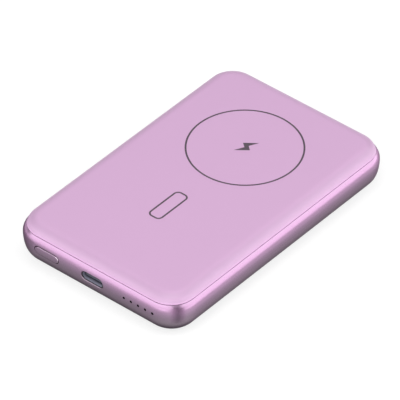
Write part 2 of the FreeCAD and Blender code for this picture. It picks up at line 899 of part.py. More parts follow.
def coil_lead(label, side, start):
    """Flat lead from under the coil, along the carrier and down on to the board."""
    body = new_body(label)
    x = s.lead_offset * side
    drop_y = -(board_back + s.lead_setback)
    bend = s.lead_bend
    foot = board_top + s.lead_thickness / 2
    end_y = drop_y - bend - s.lead_foot
    section = new_sketch(body, "WireSection", "XZ_Plane", -start)
    draw_box(section, x, lead_height, s.lead_width, s.lead_thickness)
    path = new_sketch(body, "Route", "YZ_Plane", x)
    stops = [
        (start, lead_height),
        (drop_y + bend, lead_height),
        (drop_y, lead_height - bend),
        (drop_y, foot + bend),
        (drop_y - bend, foot),
        (end_y, foot),
    ]
    draw_route(path, stops, {2: 1, 4: -1}, bend)
    pipe = body.newObject("PartDesign::AdditivePipe", "Wire")
    pipe.Profile = section
    pipe.Spine = path
    return body


def draw_route(sketch, stops, bends, radius):
    """Draw an open path; bends gives the turn of each stop that an arc reaches."""
    points = [Vector(as_size(y).number, as_size(z).number, 0) for y, z in stops]
    before = None
    for index in range(1, len(stops)):
        turn = bends.get(index)
        if turn is None:
            segment = sketch.addGeometry(Part.LineSegment(points[index - 1], points[index]))
        else:
            segment = sketch.addGeometry(arc_between(points[index - 1], points[index], radius, turn))
            set_radius(sketch, segment, radius)
        first, last = (2, 1) if turn == -1 else (1, 2)
        if before is not None:
            sketch.addConstraint(Sketcher.Constraint("Coincident", *before, segment, first))
        pin(sketch, segment, first, *stops[index - 1])
        before = (segment, last)
    pin(sketch, *before, *stops[-1])


def cover_tape():
    """Adhesive sheet between the coil carrier and the top cover."""
    body = new_body("cover_tape")
    disc_pad(body, "Disc", 0, ring_centre, s.magnet_radius, carrier_top, s.tape_thickness)
    length = ring_centre - magnet_bore + tongue_end - s.carrier_rim
    middle = length / 2 - tongue_end + s.carrier_rim
    box_pad(body, "Tongue", (0, middle, s.lead_offset * 2, length), carrier_top, s.tape_thickness)
    return body


# ---------------------------------------------------------------- board
def main_board():
    """Circuit board, shaped to the port end of the case."""
    body = new_body("main_board")
    plan = new_sketch(body, "BoardPlan", "XY_Plane", board_bottom)
    side = half_width - s.wall_inset - s.board_gap
    corner = s.corner_radius - s.wall_inset - s.board_gap
    draw_outline(plan, [
        (-side, -board_back),
        (-side, corner - board_front),
        (corner - side, -board_front, corner, 1),
        (side - corner, -board_front),
        (side, corner - board_front, corner, 1),
        (side, -board_back),
    ])
    pad(body, "Board", plan, s.board_thickness)
    for name, sign in (("Left", -1), ("Right", 1)):
        hole = new_sketch(body, f"{name}HolePlan", "XY_Plane", board_top)
        draw_circle(hole, screw_offset * sign, -screw_line, s.screw_hole / 2)
        pocket(body, f"{name}Hole", hole, s.board_thickness)
    gap = s.leg_clearance * 2
    for name, x, y in leg_places():
        slot = new_sketch(body, f"{name}SlotPlan", "XY_Plane", board_top)
        draw_box(slot, x, y, s.shell_wall + gap, s.leg_length + gap)
        pocket(body, f"{name}Slot", slot, s.board_thickness)
    return body


def board_screws():
    """Two cheese-head screws that hold the board on its bosses."""
    body = new_body("board_screws")
    section = new_sketch(body, "ScrewSection", "XZ_Plane", screw_line)
    x = screw_offset
    tip = board_top - s.screw_length
    shank = s.screw_diameter / 2
    head = s.screw_head_diameter / 2
    draw_outline(section, [
        (x, tip),
        (x + shank, tip),
        (x + shank, board_top),
        (x + head, board_top),
        (x + head, board_top + s.screw_head_height),
        (x, board_top + s.screw_head_height),
    ])
    axis = Part.LineSegment(Vector(x.number, 0, 0), Vector(x.number, 1, 0))
    line = section.addGeometry(axis, True)
    pin(section, line, 1, x, 0)
    pin(section, line, 2, x, 1)
    screw = add_feature(body, "Revolution", "Screw", section)
    screw.ReferenceAxis = (section, ["Axis0"])
    mirror_all(body, "OtherScrew", "YZ_Plane")
    return body


def component(label, share, width, length, height):
    """Square-cornered part soldered on the board's component line."""
    body = new_body(label)
    box_pad(body, "Package", (half_width * share, component_y, width, length), board_top, height)
    return body


def power_inductor():
    """Moulded inductor of the charging circuit."""
    body = new_body("power_inductor")
    x = half_width * s.inductor_share
    box_pad(body, "Core", (x, component_y, s.inductor_width, s.inductor_width),
            board_top, s.inductor_height, s.inductor_corner)
    return body


def mosfets():
    """Two power transistors."""
    body = component("mosfets", s.mosfet_share, s.mosfet_width, s.mosfet_width, s.chip_height)
    row_of(body, "Row", [body.Tip], "X_Axis", s.mosfet_count, s.mosfet_pitch)
    return body


def capacitors():
    """Row of ceramic capacitors."""
    body = component("capacitors", -s.capacitor_share, s.capacitor_width, s.capacitor_length,
                     s.capacitor_height)
    row_of(body, "Row", [body.Tip], "X_Axis", s.capacitor_count, s.capacitor_pitch)
    return body


# ---------------------------------------------------------------- USB-C socket
def leg_places():
    """Name, x and y of each of the socket's four legs."""
    x = (s.shell_width - s.shell_wall) / 2
    front = -(half_length - s.shell_recess - s.leg_setback)
    return [
        ("FrontLeft", -x, front),
        ("FrontRight", x, front),
        ("BackLeft", -x, front + s.leg_pitch),
        ("BackRight", x, front + s.leg_pitch),
    ]


def usb_shell():
    """Drawn metal shell of the socket."""
    body = new_body("usb_shell")
    mouth = half_length - s.shell_recess
    outside = new_sketch(body, "OutsidePlan", "XZ_Plane", mouth)
    draw_pill(outside, as_size(0), s.port_height, s.shell_width, s.shell_height)
    pad(body, "Outside", outside, s.shell_length, backwards=True)
    inside = new_sketch(body, "InsidePlan", "XZ_Plane", mouth)
    draw_pill(inside, as_size(0), s.port_height, s.shell_width - s.shell_wall * 2,
              s.shell_height - s.shell_wall * 2)
    pocket(body, "Inside", inside, s.shell_length)
    for name, x, y in leg_places():
        box_pad(body, f"{name}Leg", (x, y, s.shell_wall, s.leg_length), board_bottom,
                s.port_height - board_bottom)
    return body


def usb_tongue():
    """Moulded back of the socket with the tongue that carries the contacts."""
    body = new_body("usb_tongue")
    back = half_length - s.shell_recess - s.shell_length
    base = new_sketch(body, "BasePlan", "XZ_Plane", back)
    gap = (s.shell_wall + s.socket_clearance) * 2
    draw_pill(base, as_size(0), s.port_height, s.shell_width - gap, s.shell_height - gap)
    pad(body, "Base", base, s.socket_back)
    tongue = new_sketch(body, "TonguePlan", "XZ_Plane", back)
    draw_box(tongue, as_size(0), s.port_height, s.tongue_width, s.tongue_thickness)
    pad(body, "Tongue", tongue, s.shell_length - s.tongue_recess)
    return body


def usb_contacts():
    """Contact strips along both faces of the tongue."""
    body = new_body("usb_contacts")
    back = half_length - s.shell_recess - s.shell_length + s.socket_back
    x = -s.contact_pitch * (s.contact_count - 1) / 2
    plan = (x, -(back + s.contact_length / 2), s.contact_width, s.contact_length)
    upper = box_pad(body, "Upper", plan, s.port_height + s.tongue_thickness / 2, s.contact_thickness)
    lower = box_pad(body, "Lower", plan,
                    s.port_height - s.tongue_thickness / 2 - s.contact_thickness, s.contact_thickness)
    row_of(body, "Rows", [upper, lower], "X_Axis", s.contact_count, s.contact_pitch)
    return body


# ---------------------------------------------------------------- button and switch
def button_cap():
    """Pill-shaped button: its face follows the frame's side, its flange keeps it in the slot."""
    body = new_body("button_cap")
    x = -button_offset
    cap = new_sketch(body, "CapPlan", "XZ_Plane", flange_front)
    draw_pill(cap, x, s.port_height, s.button_width, s.button_height)
    pad(body, "Cap", cap, half_length - flange_front + s.cut_margin)
    flange = new_sketch(body, "FlangePlan", "XZ_Plane", flange_back)
    draw_pill(flange, x, s.port_height, s.button_flange_width, s.button_flange_height)
    pad(body, "Flange", flange, s.button_flange_thickness)
    pusher = new_sketch(body, "PusherPlan", "XZ_Plane", pusher_end)
    draw_circle(pusher, x, s.port_height, s.pusher_diameter / 2)
    pad(body, "Pusher", pusher, s.pusher_length)
    face = new_sketch(body, "FacePlan", "YZ_Plane", x)
    low = s.port_height - s.button_height
    high = s.port_height + s.button_height
    low_inset = s.side_radius - root(
        s.side_radius * s.side_radius - (s.belt_height - low) * (s.belt_height - low))
    high_inset = shoulder_radius - root(
        shoulder_radius * shoulder_radius - (high - s.belt_height) * (high - s.belt_height))
    draw_outline(face, [
        (low_inset - half_length, low, s.side_radius, 1),
        (-(half_length + s.cut_margin * 2), low),
        (-(half_length + s.cut_margin * 2), high),
        (high_inset - half_length, high),
        (-half_length, s.belt_height, shoulder_radius, 1),
    ])
    pocket(body, "Face", face, s.button_flange_width, both_ways=True)
    bevel_rim(body, "FaceBevel", x, s.button_width, s.button_edge_bevel)
    return body


def switch_body():
    """Side-push switch on the board, open at the front for its plunger."""
    body = new_body("switch_body")
    x = -button_offset
    box_pad(body, "Housing", (x, s.switch_length / 2 - switch_front, s.switch_width, s.switch_length),
            board_top, s.switch_height)
    hole = new_sketch(body, "PlungerHole", "XZ_Plane", switch_front)
    gap = s.plunger_clearance * 2
    draw_box(hole, x, s.port_height, s.plunger_width + gap, s.plunger_height + gap)
    pocket(body, "Hole", hole, s.plunger_depth + s.button_travel + s.plunger_clearance)
    return body


def switch_plunger():
    """Plunger between the button's pusher and the switch."""
    body = new_body("switch_plunger")
    plan = new_sketch(body, "PlungerPlan", "XZ_Plane", pusher_end)
    draw_box(plan, -button_offset, s.port_height, s.plunger_width, s.plunger_height)
    pad(body, "Plunger", plan, s.plunger_reach + s.plunger_depth, backwards=True)
    return body


# ---------------------------------------------------------------- lights
def light_guide():
    """Clear bar with a square pin for each light hole."""
    body = new_body("light_guide")
    width = s.light_pitch * (s.light_count - 1) + s.guide_margin * 2
    box_pad(body, "Bar", (light_offset, -(guide_front + guide_back) / 2, width, s.guide_depth),
            board_top, s.guide_height)
    plan = new_sketch(body, "PinPlan", "XZ_Plane", guide_front)
    draw_box(plan, first_light, s.port_height, s.light_pin, s.light_pin)
    light_pin = pad(body, "Pin", plan, half_length - s.light_recess - guide_front)
    row_of(body, "Pins", [light_pin], "X_Axis", s.light_count, s.light_pitch)
    return body


def status_lights():
    """Light-emitting diodes behind the guide."""
    body = new_body("status_lights")
    plan = (first_light, s.light_length / 2 - guide_back, s.light_width, s.light_length)
    light = box_pad(body, "Light", plan, board_top, s.light_height)
    row_of(body, "Lights", [light], "X_Axis", s.light_count, s.light_pitch)
    return body


# ---------------------------------------------------------------- write the sub-parts
def check_and_export(parts):
    """Stop on a failed object or an empty shape, then write each sub-part."""
    doc.recompute()
    failed = [item.Name for item in doc.Objects if {"Invalid", "Error"} & set(item.State)]
    if failed:
        raise RuntimeError(f"failed objects: {failed}")
    os.makedirs("parts", exist_ok=True)
    for part in parts:
        if part.Shape.isNull() or not part.Shape.isValid():
            raise RuntimeError(f"bad shape: {part.Label}")
        part.Shape.exportStep(f"parts/{part.Label}.step")
        print(part.Label, round(part.Shape.Volume, 3), len(part.Shape.Solids))


def build_parts():
    """Build every sub-part of the power bank."""
    return [
        mid_frame(),
        top_cover(),
        bottom_cover(),
        bottom_tape(),
        cell_layer("cell_pad", s.layer_margin, s.floor_thickness, s.pad_thickness),
        battery_cell(),
        cell_tabs(),
        cell_layer("cell_sheet", s.cell_clearance, cell_top, s.sheet_thickness),
        cell_layer("spacer_foam", s.layer_margin, sheet_top, carrier_bottom - sheet_top),
        coil_carrier(),
        magnet_shield(),
        magnet_ring(),
        bar_magnet(),
        ferrite_sheet(),
        charging_coil(),
        coil_lead("coil_lead_outer", -1, ring_centre - coil_radius),
        coil_lead("coil_lead_inner", 1, ring_centre - s.coil_bore),
        cover_tape(),
        main_board(),
        board_screws(),
        power_inductor(),
        component("charge_controller", 0, s.controller_width, s.controller_width, s.chip_height),
        component("coil_driver", -s.driver_share, s.driver_width, s.driver_width, s.chip_height),
        mosfets(),
        capacitors(),
        usb_shell(),
        usb_tongue(),
        usb_contacts(),
        button_cap(),
        switch_body(),
        switch_plunger(),
        light_guide(),
        status_lights(),
    ]


check_and_export(build_parts())
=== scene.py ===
"""Looks of the power bank: materials, printed marks, floor, soft studio light and camera."""

import json
import math

import bmesh
import bpy
from mathutils import Matrix, Vector


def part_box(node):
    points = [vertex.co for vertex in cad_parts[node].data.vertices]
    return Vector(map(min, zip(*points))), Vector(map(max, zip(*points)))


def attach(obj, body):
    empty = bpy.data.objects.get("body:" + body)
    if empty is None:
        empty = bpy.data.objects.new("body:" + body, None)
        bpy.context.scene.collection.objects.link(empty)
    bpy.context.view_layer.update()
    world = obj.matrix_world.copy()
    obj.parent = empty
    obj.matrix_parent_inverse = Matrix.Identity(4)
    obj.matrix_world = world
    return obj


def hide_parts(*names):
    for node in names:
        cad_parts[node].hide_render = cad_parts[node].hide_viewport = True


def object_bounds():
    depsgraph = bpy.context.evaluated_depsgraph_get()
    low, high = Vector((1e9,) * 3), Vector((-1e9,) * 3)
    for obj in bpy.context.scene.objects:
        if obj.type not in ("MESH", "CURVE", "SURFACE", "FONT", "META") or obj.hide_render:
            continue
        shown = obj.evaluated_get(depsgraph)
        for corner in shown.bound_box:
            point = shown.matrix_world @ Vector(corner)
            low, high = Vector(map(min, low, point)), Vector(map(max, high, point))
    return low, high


MM = 0.001

# Camera: turned from the port end (-Y) towards the right side (+X) and raised, in degrees. It
# faces the object's origin from its distance, shifted a little to its own side and upwards.
CAMERA_TURN = 40.11
CAMERA_RAISE = 39.755
CAMERA_DISTANCE = 1769.7 * MM
CAMERA_ASIDE = -0.895 * MM
CAMERA_ABOVE = 5.589 * MM
CAMERA_LENS = 488.8
CAMERA_SENSOR = 36

# Section of the cover, in millimetres: a side arc rises from the foot, and a flatter crown arc
# leads on to the flat face. EDGE_DROP is how far the side arc's centre lies below the foot, and
# EDGE_RUN how far in the flat face begins. Insets are from the cover's outline.
COVER_CORNER = 8.9
COVER_FOOT = 13.18
COVER_THICKNESS = 1.6
SKIRT_INSETS = (0.65, 1.65)
EDGE_RADIUS = 3.05
EDGE_DROP = 0.63
EDGE_RUN = 4.3
FACE_MARGIN = 0.5
EDGE_STEPS = 24
CROWN_STEPS = 16
COVER_CORNER_STEPS = 24

# Button in its slot, in millimetres: how far its upper and lower edges are moved down and its
# right end inwards, so that the gap round it shows dark there
BUTTON_TOP_DROP = 0.45
BUTTON_FOOT_DROP = 0.08
BUTTON_END_INSET = 0.35

# Bevel of the button: a face is part of it where the forward part of its normal lies in this
# range. It takes at least the least share of the painted glint's tint, and all of it where it
# looks right and upwards, towards the light, which the gain brings on sooner and the lead for
# level faces too.
PAINTED_GLINT = "painted_glint"
BEVEL_FORWARD = (0.2, 0.8)
BEVEL_LEAST_TINT = 0.3
BEVEL_GAIN = 2
BEVEL_UPWARD_LEAD = 0.4

# Rounded tips of the light guide in the holes of the port end, in millimetres; the profile is
# (share of the radius, depth), from the back to the front
TIP_COUNT = 5
TIP_PITCH = 2.95
TIP_HEIGHT = 9.05
TIP_RADIUS = 0.55
TIP_DEPTH = 0.01
TIP_PROFILE = [(1, 0.6), (1, 0.08), (0.9, 0.02), (0.6, 0)]
TIP_STEPS = 32

# Printed marks on the charging face, in millimetres
MARK_LINE = 0.61
MARK_DEPTH = 0.02
MARK_CORNER_STEPS = 48
RING_CENTRE = (0.0, 21.4)
RING_RADIUS = 19.4
BAR_CENTRE = (0.0, -17.2)
BAR_HALF_SIZE = (2.4, 7.4)
BAR_CORNER = 1.6
BOLT_CENTRE = (0.1, 22.05)
BOLT_CORNERS = [(-2.1, 0.75), (2.05, 4.05), (0.32, 0.7)]

# Edges sharper than this, in degrees, stay sharp on smooth pieces
SHARP_ANGLE = 30

# Noise lies mostly between these two values. A finish changes colour in patches of so many
# grains, and its roughness differs from its middle by no more than the spread.
NOISE_LOW = 0.3
NOISE_HIGH = 0.7
PATCH_GRAINS = 40
ROUGHNESS_SPREAD = 0.03

# Cover: its colour, and at each height in millimetres how much a painted highlight lightens it
# down the rounded edge, or painted shade darkens it near the crown
COVER_TINT = (211, 172, 208)
COVER_PAINTED_LIGHT = [(13.2, 1.5), (13.8, 1.17), (14.8, 0.98), (15.5, 0.91), (16, 1)]

# Frame and button: their colour at each height in millimetres, with painted shade darkening it
# towards the underside and a painted highlight under the seam, and that of the painted glint on
# the button's bevel
FRAME_TINT_AND_PAINTED_SHADE = [
    (2, (74, 70, 74)),
    (4, (98, 91, 97)),
    (5.5, (131, 119, 129)),
    (7, (143, 127, 141)),
    (8.5, (151, 130, 149)),
    (10, (167, 139, 165)),
    (12, (185, 147, 181)),
    (12.9, (202, 166, 199)),
]
# Colour of the painted glint on the button's bevel
PAINTED_GLINT_TINT = (250, 228, 246)

# Shell of the socket: its colour at each place along Y in millimetres, from the lip inwards:
# painted shade at the lip and deeper in, and a painted highlight just behind the lip
SHELL_PAINTED_LIGHT = [(-54.6, (66, 62, 70)), (-54.2, (200, 200, 222)), (-53, (84, 84, 98))]

# Every other material slot of the record. Tints are screen colours from 0 to 255; the size of
# the grain and its depth are in millimetres.
PLAIN_FINISHES = {
    "base_plastic": dict(tint=(212, 172, 209), roughness=0.5, grain=0.25, depth=0.006,
                         variation=0.015),
    "port_plastic": dict(tint=(88, 90, 106), roughness=0.45, grain=0.1, depth=0.002),
    "contact_gold": dict(tint=(190, 160, 100), roughness=0.3, grain=0.05, depth=0.001,
                         Metallic=1.0),
    "light_pipe": dict(tint=(5, 4, 5), roughness=0.5, grain=0.1, depth=0.001,
                       Specular_IOR_Level=0.0),
    "light_chip": dict(tint=(225, 220, 200), roughness=0.4, grain=0.1, depth=0.002),
    "foam": dict(tint=(50, 50, 50), roughness=0.9, grain=0.4, depth=0.1, variation=0.15),
    "tape": dict(tint=(150, 140, 120), roughness=0.6, grain=0.3, depth=0.01),
    "cell_foil": dict(tint=(190, 192, 196), roughness=0.35, grain=1.5, depth=0.03, Metallic=0.9),
    "tab_nickel": dict(tint=(180, 176, 168), roughness=0.3, grain=0.2, depth=0.004, Metallic=1.0),
    "insulation": dict(tint=(190, 130, 40), roughness=0.3, grain=0.8, depth=0.005),
    "carrier_plastic": dict(tint=(48, 48, 50), roughness=0.5, grain=0.3, depth=0.01),
    "magnet": dict(tint=(170, 170, 176), roughness=0.28, grain=0.3, depth=0.004, Metallic=1.0),
    "shield_steel": dict(tint=(160, 160, 162), roughness=0.4, grain=0.3, depth=0.006,
                         Metallic=1.0),
    "ferrite": dict(tint=(42, 42, 46), roughness=0.7, grain=0.2, depth=0.01, variation=0.1),
    "copper": dict(tint=(196, 116, 70), roughness=0.35, grain=0.3, depth=0.02, variation=0.1,
                   Metallic=0.9),
    "board": dict(tint=(20, 88, 60), roughness=0.4, grain=0.8, depth=0.01, variation=0.1),
    "chip": dict(tint=(30, 30, 32), roughness=0.6, grain=0.15, depth=0.004, variation=0.1),
    "capacitor": dict(tint=(160, 124, 88), roughness=0.5, grain=0.1, depth=0.003, variation=0.1),
    "screw_steel": dict(tint=(150, 150, 154), roughness=0.35, grain=0.1, depth=0.003,
                        Metallic=1.0),
}
# Ink of the printed marks
INK_FINISH = dict(tint=(88, 76, 86), roughness=0.6, grain=0.15, depth=0.002)

# World: its even light, and the dim studio overhead, which reflections meet above the white
# horizon. The fade between them is by height on a unit sphere.
WORLD_LEVEL = 0.1
STUDIO_DIM = 0.12
HORIZON_FADE = (0.06, 0.3)

# Floor: its reach and height in metres, its tone for falling light, and its glow where it is seen
FLOOR_REACH = 8.0
FLOOR_HEIGHT = -0.05 * MM
FLOOR_TONE = 0.3
FLOOR_GLOW = 0.76

# Round spots of the floor that reflections show darker, a painted dark reflection on the frame,
# left
# of the port end and before it: the middle, the distances from it between which the spot fades
# out, and how dark it is
DARK_SPOTS = [(-85, -65, 35, 70, 1.0), (-5, -80, 25, 60, 0.35)]

# A dark card stands by the near corner, between the two side lamps, and only reflections show it:
# a painted dark reflection on the corner, fading to a painted bright one at its sides. Its rows
# from
# the foot up: distance from the centre of the corner's round, height, half width, tone in the
# middle and at the sides.
CARD_CORNER = (24.7, -44.7)
CARD_TURN = 56
CARD_ROWS = [
    (13.2, 0.2, 4.5, 0.45, 1.0),
    (16.7, 10, 5, 0.2, 0.9),
    (20.2, 20, 5, 0.02, 0.3),
    (27.2, 40, 5.5, 0.02, 0.1),
]
# Tint of the card's glow, which makes the painted reflection pinker
CARD_REFLECTION_TINT = (1, 0.9, 1)

# Soft boxes: one above, one for each visible side, and a low one for each side of the near
# corner. Turned and raised as the camera is, in degrees; sizes are in metres, power in watts.
LAMPS = {
    "above": dict(turn=40, raised=80, distance=1.4, width=0.8, height=0.8, power=6.5),
    "front_left": dict(turn=-10, raised=36, distance=1.2, width=2.5, height=1.3, power=16.7),
    "back_right": dict(turn=128, raised=27, distance=1.2, width=2.2, height=1.5, power=17.3),
    "corner_left": dict(turn=14, raised=6, distance=1.2, width=0.7, height=0.35, power=0.5),
    "corner_right": dict(turn=68, raised=6, distance=1.2, width=0.7, height=0.35, power=0.7),
}


# ---------------------------------------------------------------- node steps
def put(tree, source, target):
    """Give an input a number, or link it to a socket."""
    if isinstance(source, (int, float)):
        target.default_value = source
    else:
        tree.links.new(source, target)


def calculate(tree, operation, first, second):
    """Math node between two values, each a socket or a number."""
    node = tree.nodes.new("ShaderNodeMath")
    node.operation = operation
    put(tree, first, node.inputs[0])
    put(tree, second, node.inputs[1])
    return node.outputs[0]


def map_range(tree, value, old, new, interpolation="LINEAR"):
    """Map a value from an old range to a new one, each (first, last), and keep it within."""
    node = tree.nodes.new("ShaderNodeMapRange")
    node.interpolation_type = interpolation
    put(tree, value, node.inputs["Value"])
    put(tree, old[0], node.inputs["From Min"])
    put(tree, old[1], node.inputs["From Max"])
    put(tree, new[0], node.inputs["To Min"])
    put(tree, new[1], node.inputs["To Max"])
    return node.outputs["Result"]


def fade_out(tree, value, within):
    """1 below a range, 0 above it, and a smooth change within it."""
    return map_range(tree, value, within, (1.0, 0.0), interpolation="SMOOTHSTEP")


# ---------------------------------------------------------------- materials
class Nodes:
    """A material and the few node steps that every finish here is made of."""

    def __init__(self, name):
        self.material = bpy.data.materials.new(name)
        self.material.use_nodes = True
        self.tree = self.material.node_tree
        self.shader = self.tree.nodes["Principled BSDF"]
        self.place = self.add("ShaderNodeTexCoord").outputs["Object"]

    def add(self, kind, **settings):
        """Add a node with its settings."""
        node = self.tree.nodes.new(kind)
        for name, value in settings.items():
            setattr(node, name, value)
        return node

    def join(self, source, target):
        """Link two sockets."""
        self.tree.links.new(source, target)

    def set(self, **values):
        """Set constants on the shader's own sockets; an underscore stands for a space."""
        for name, value in values.items():
            self.shader.inputs[name.replace("_", " ")].default_value = value

    def noise(self, size, stretch=(1, 1, 1)):
        """Noise whose grains are about size metres across."""
        mapping = self.add("ShaderNodeMapping")
        mapping.inputs["Scale"].default_value = stretch
        self.join(self.place, mapping.inputs["Vector"])
        noise = self.add("ShaderNodeTexNoise")
        noise.inputs["Scale"].default_value = 1 / size
        self.join(mapping.outputs["Vector"], noise.inputs["Vector"])
        return noise.outputs["Fac"]

    def ramp(self, value, stops, interpolation="LINEAR"):
        """Colour ramp; each stop is (position, colour)."""
        ramp = self.add("ShaderNodeValToRGB")
        ramp.color_ramp.interpolation = interpolation
        elements = ramp.color_ramp.elements
        while len(elements) < len(stops):
            elements.new(0.5)
        for element, (position, rgb) in zip(elements, stops):
            element.position = position
            element.color = (*rgb, 1)
        self.join(value, ramp.inputs["Fac"])
        return ramp.outputs["Color"]

    def along(self, axis, stops):
        """Smooth change of colour along an axis; each stop is (place in millimetres, colour)."""
        axes = self.add("ShaderNodeSeparateXYZ")
        self.join(self.place, axes.inputs[0])
        first, last = stops[0][0], stops[-1][0]
        level = map_range(self.tree, axes.outputs[axis], (first * MM, last * MM), (0, 1))
        shares = [((place - first) / (last - first), rgb) for place, rgb in stops]
        return self.ramp(level, shares, interpolation="CARDINAL")

    def grain(self, size, depth, low, high, stretch=(1, 1, 1)):
        """Grain of a size and depth in metres, where roughness varies between low and high."""
        grains = self.noise(size, stretch)
        roughness = map_range(self.tree, grains, (NOISE_LOW, NOISE_HIGH), (low, high))
        self.join(roughness, self.shader.inputs["Roughness"])
        bump = self.add("ShaderNodeBump")
        bump.inputs["Distance"].default_value = depth
        self.join(grains, bump.inputs["Height"])
        self.join(bump.outputs["Normal"], self.shader.inputs["Normal"])


def linear(tint):
    """Linear colour of a screen colour from 0 to 255."""
    return tuple(((value / 255 + 0.055) / 1.055) ** 2.4 for value in tint)


def scaled(rgb, factor):
    """A colour made lighter or darker, up to full."""
    return tuple(min(value * factor, 1.0) for value in rgb)


def finish(name, tint, roughness, grain, depth, variation=0.04, **constants):
    """A finish with fine grain: colour and roughness vary a little, and the grain stands up."""
    nodes = Nodes(name)
    nodes.set(**constants)
    rgb = linear(tint)
    patches = nodes.noise(grain * MM * PATCH_GRAINS)
    shades = nodes.ramp(patches, [(NOISE_LOW, scaled(rgb, 1 - variation)),
                                  (NOISE_HIGH, scaled(rgb, 1 + variation))])
    nodes.join(shades, nodes.shader.inputs["Base Color"])
    nodes.grain(grain * MM, depth * MM, roughness - ROUGHNESS_SPREAD, roughness + ROUGHNESS_SPREAD)
    return nodes.material


def cover_plastic():
    """Moulded plastic: satin, with very fine grain; a painted highlight makes it lighter down the
    rounded edge and painted shade a little darker near the crown.
    """
    nodes = Nodes("cover_plastic")
    flat = linear(COVER_TINT)
    # Painted highlight and painted shade, by height
    shades = nodes.along("Z", [(height, scaled(flat, share)) for height, share in COVER_PAINTED_LIGHT])
    nodes.join(shades, nodes.shader.inputs["Base Color"])
    nodes.grain(size=0.25 * MM, depth=0.003 * MM, low=0.36, high=0.42)
    return nodes.material


def anodised_metal():
    """Fine-blasted, anodised aluminium, with painted shade darker towards the underside, a painted
    highlight just under the seam, and a painted glint on the button's bevel.
    """
    nodes = Nodes("anodised_metal")
    nodes.set(Metallic=0.85, Specular_Tint=(0.35, 0.3, 0.35, 1))
    # Painted shade by height, darker towards the underside, and a painted highlight under the seam
    shades = nodes.along("Z", [(height, linear(tint)) for height, tint in FRAME_TINT_AND_PAINTED_SHADE])
    # Painted glint on the button's bevel
    mark = nodes.add("ShaderNodeAttribute", attribute_name=PAINTED_GLINT)
    mix = nodes.add("ShaderNodeMix", data_type="RGBA")
    mix.inputs["B"].default_value = (*linear(PAINTED_GLINT_TINT), 1)
    nodes.join(mark.outputs["Fac"], mix.inputs["Factor"])
    nodes.join(shades, mix.inputs["A"])
    nodes.join(mix.outputs["Result"], nodes.shader.inputs["Base Color"])
    nodes.grain(size=0.2 * MM, depth=0.001 * MM, low=0.27, high=0.31)
    return nodes.material


def port_steel():
    """Drawn steel of the socket's shell, with painted shade at its lip and deeper in, and a
    painted highlight just behind the lip.
    """
    nodes = Nodes("port_steel")
    nodes.set(Metallic=0.4)
    # Painted shade at the lip and deeper in, painted highlight just behind the lip
    shades = nodes.along("Y", [(place, linear(tint)) for place, tint in SHELL_PAINTED_LIGHT])
    nodes.join(shades, nodes.shader.inputs["Base Color"])
    nodes.grain(size=0.1 * MM, depth=0.002 * MM, low=0.4, high=0.5, stretch=(1, 0.2, 1))
    return nodes.material


def dress_nodes(frame):
    """Give every CAD piece the finish of its record slot."""
    finishes = {slot: finish(slot, **values) for slot, values in PLAIN_FINISHES.items()}
    finishes["cover_plastic"] = cover_plastic()
    finishes["frame_metal"] = finishes["button_metal"] = anodised_metal()
    finishes["port_steel"] = port_steel()
    slots = {row["node"]: row["material_slot"] for row in frame["record"]["subparts"]}
    for name, node in frame["nodes"].items():
        for slot in node.material_slots:
            slot.material = finishes[slots[name]]
    return finishes


# ---------------------------------------------------------------- mesh steps
def new_object(name, data):
    """An object in the scene for a mesh, a lamp or a camera."""
    item = bpy.data.objects.new(name, data)
    bpy.context.collection.objects.link(item)
    return item


def mesh_piece(name, builder, material):
    """Make a mesh piece that rides on the case."""
    mesh = bpy.data.meshes.new(name)
    shape = bmesh.new()
    builder(shape)
    bmesh.ops.recalc_face_normals(shape, faces=shape.faces)
    shape.to_mesh(mesh)
    shape.free()
    mesh.materials.append(material)
    piece = new_object(name, mesh)
    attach(piece, "case")
    return piece


def rounded_outline(centre, half_size, radius, steps):
    """Points round a rectangle with rounded corners, in millimetres."""
    points = []
    for quarter, (side, end) in enumerate([(1, 1), (-1, 1), (-1, -1), (1, -1)]):
        middle_x = centre[0] + side * (half_size[0] - radius)
        middle_y = centre[1] + end * (half_size[1] - radius)
        for step in range(steps + 1):
            angle = (quarter + step / steps) * math.pi / 2
            points.append((middle_x + radius * math.cos(angle),
                           middle_y + radius * math.sin(angle)))
    return points


def raise_loop(shape, outline, height):
    """Loop of vertices along an outline in millimetres, at a height in metres."""
    return [shape.verts.new((x * MM, y * MM, height)) for x, y in outline]


def bridge(shape, first, second):
    """Join two loops with the same number of points by quads."""
    for index in range(len(first)):
        shape.faces.new([first[index - 1], first[index], second[index], second[index - 1]])


def close_tube(shape, loops):
    """Skin over loops in turn, with a face at either end."""
    for first, second in zip(loops, loops[1:]):
        bridge(shape, first, second)
    shape.faces.new(loops[0])
    shape.faces.new(loops[-1])


def smooth(piece):
    """Shade smooth, with sharp edges kept."""
    piece.data.polygons.foreach_set("use_smooth", [True] * len(piece.data.polygons))
    piece.data.set_sharp_from_angle(angle=math.radians(SHARP_ANGLE))


